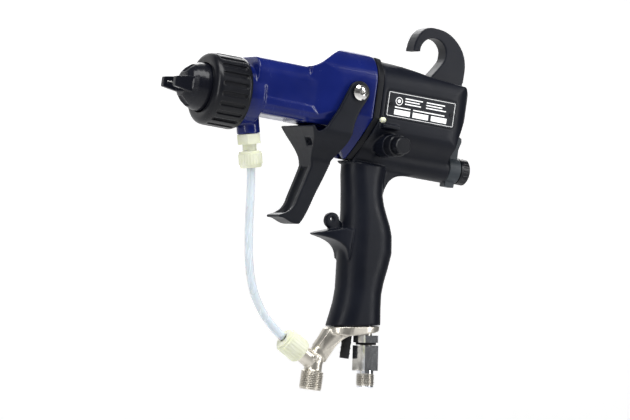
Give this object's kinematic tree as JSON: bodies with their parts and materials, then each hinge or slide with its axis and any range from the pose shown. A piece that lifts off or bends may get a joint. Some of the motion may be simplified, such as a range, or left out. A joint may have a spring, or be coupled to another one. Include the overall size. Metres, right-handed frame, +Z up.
{
  "type": "electrostatic air spray gun",
  "caption": "Hand-held air-assisted electrostatic paint spray gun with sprung trigger, ribbed cap ring, hang hook, side fluid tube, fluid inlet bracket and swivelling air inlet.",
  "frame": {"origin": "centre of the inner arc of the hang hook, where the gun hangs", "axes": "+X to the rear along the nozzle axis, +Y across the gun along the hook's axis, +Z up"},
  "size_m": [0.2539, 0.0743, 0.2807],
  "materials": {
    "blue_plastic": "glossy deep cobalt blue moulded nylon",
    "cap_plastic": "semi-gloss black acetal",
    "ring_plastic": "semi-gloss black moulded plastic",
    "nozzle_plastic": "dark filled plastic",
    "lip_plastic": "black moulded gasket",
    "handle_plastic": "satin black glass-filled nylon",
    "hook_plastic": "satin black glass-filled nylon",
    "trigger_plastic": "satin black moulded plastic",
    "lever_plastic": "satin dark grey moulded plastic",
    "lens_plastic": "pale translucent lens",
    "nameplate_foil": "black printed foil with blank white fields",
    "seal_rubber": "black rubber",
    "nylon": "natural translucent nylon",
    "clear_tube": "translucent milky fluoropolymer",
    "white_ptfe": "white PTFE",
    "satin_nickel": "satin nickel-plated casting",
    "polished_steel": "bright stainless steel",
    "chrome_hex": "bright plated steel hexagon",
    "thread_steel": "machined stainless thread",
    "brass": "machined brass"
  },
  "bodies": {
    "gun_body": {"fluid_nozzle": "nozzle_plastic", "nozzle_seal": "seal_rubber", "packing_housing": "white_ptfe", "packing_nut": "brass", "needle_spring": "polished_steel", "barrel": "blue_plastic", "barrel_gasket": "lip_plastic", "barrel_screws": "polished_steel", "power_supply": "nozzle_plastic", "supply_seal": "seal_rubber", "contact_spring": "polished_steel", "alternator": "nozzle_plastic", "turbine_bearing": "polished_steel", "handle": "handle_plastic", "hook": "hook_plastic", "hook_screw": "polished_steel", "nameplate": "nameplate_foil", "nameplate_pins": "ring_plastic", "indicator_lens": "lens_plastic", "trigger_bushes": "ring_plastic", "trigger_screws": "polished_steel", "valve_sleeve": "brass", "valve_seal": "seal_rubber", "valve_spring": "polished_steel", "fan_valve_housing": "ring_plastic", "fan_knob_seal": "seal_rubber", "es_spool": "brass", "end_knob_seal": "seal_rubber", "upper_fitting": "nylon", "upper_nut": "nylon", "fluid_tube": "clear_tube", "lower_ferrule": "polished_steel", "lower_nut": "nylon", "fluid_bracket": "satin_nickel", "bracket_screws": "polished_steel", "exhaust_tube": "seal_rubber", "air_inlet_nut": "chrome_hex", "air_inlet_stem": "thread_steel", "swivel_seal": "seal_rubber"},
    "ring": {"retaining_ring": "ring_plastic"},
    "cap": {"air_cap": "cap_plastic"},
    "needle": {"packing_rod": "polished_steel", "electrode_wire": "polished_steel", "actuator_bar": "polished_steel"},
    "trigger": {"trigger": "trigger_plastic"},
    "air_valve": {"valve_stem": "polished_steel"},
    "fan_knob": {"fan_knob": "ring_plastic"},
    "es_lever": {"es_lever": "lever_plastic"},
    "end_knob": {"end_knob": "ring_plastic"},
    "swivel": {"air_swivel": "chrome_hex"},
    "turbine": {"turbine_rotor": "brass"}
  },
  "joints": [
    {"name": "trigger_pull", "type": "hinge", "parent": "gun_body", "child": "trigger", "pos_m": [-0.0665, 0, -0.0415], "axis": [0, -1, 0], "range_deg": [0, 8.5], "stiffness_Nm_per_rad": 1.2, "springref_deg": -22.92},
    {"name": "needle_slide", "type": "slide", "parent": "gun_body", "child": "needle", "axis": [1, 0, 0], "range_m": [0, 0.00225], "deforming": ["needle_spring"]},
    {"name": "valve_slide", "type": "slide", "parent": "gun_body", "child": "air_valve", "axis": [1, 0, 0], "range_m": [0, 0.00628], "deforming": ["valve_spring"]},
    {"name": "ring_turn", "type": "hinge", "parent": "gun_body", "child": "ring", "pos_m": [-0.1675, 0, -0.0565], "axis": [1, 0, 0], "range_deg": [0, 45]},
    {"name": "cap_turn", "type": "hinge", "parent": "gun_body", "child": "cap", "pos_m": [-0.1875, 0, -0.0565], "axis": [1, 0, 0], "range_deg": [0, 90]},
    {"name": "fan_knob_turn", "type": "hinge", "parent": "gun_body", "child": "fan_knob", "pos_m": [-0.0338, -0.037, -0.0759], "axis": [0, -1, 0], "range_deg": [-180, 180]},
    {"name": "es_lever_turn", "type": "hinge", "parent": "gun_body", "child": "es_lever", "pos_m": [0.0305, 0, -0.0835], "axis": [1, 0, 0], "range_deg": [0, 90]},
    {"name": "end_knob_turn", "type": "hinge", "parent": "gun_body", "child": "end_knob", "pos_m": [0.0395, 0, -0.0835], "axis": [1, 0, 0], "range_deg": [-180, 180]},
    {"name": "swivel_spin", "type": "hinge", "parent": "gun_body", "child": "swivel", "pos_m": [-0.01778, 0, -0.23216], "axis": [0.1305, 0, -0.9914], "continuous": true},
    {"name": "turbine_spin", "type": "hinge", "parent": "gun_body", "child": "turbine", "pos_m": [-0.0145, 0, -0.0345], "axis": [1, 0, 0], "continuous": true}
  ],
  "couplings": [
    {"joint": "needle_slide", "follows": "trigger_pull", "m_per_rad": 0.015},
    {"joint": "valve_slide", "follows": "trigger_pull", "m_per_rad": 0.042}
  ]
}
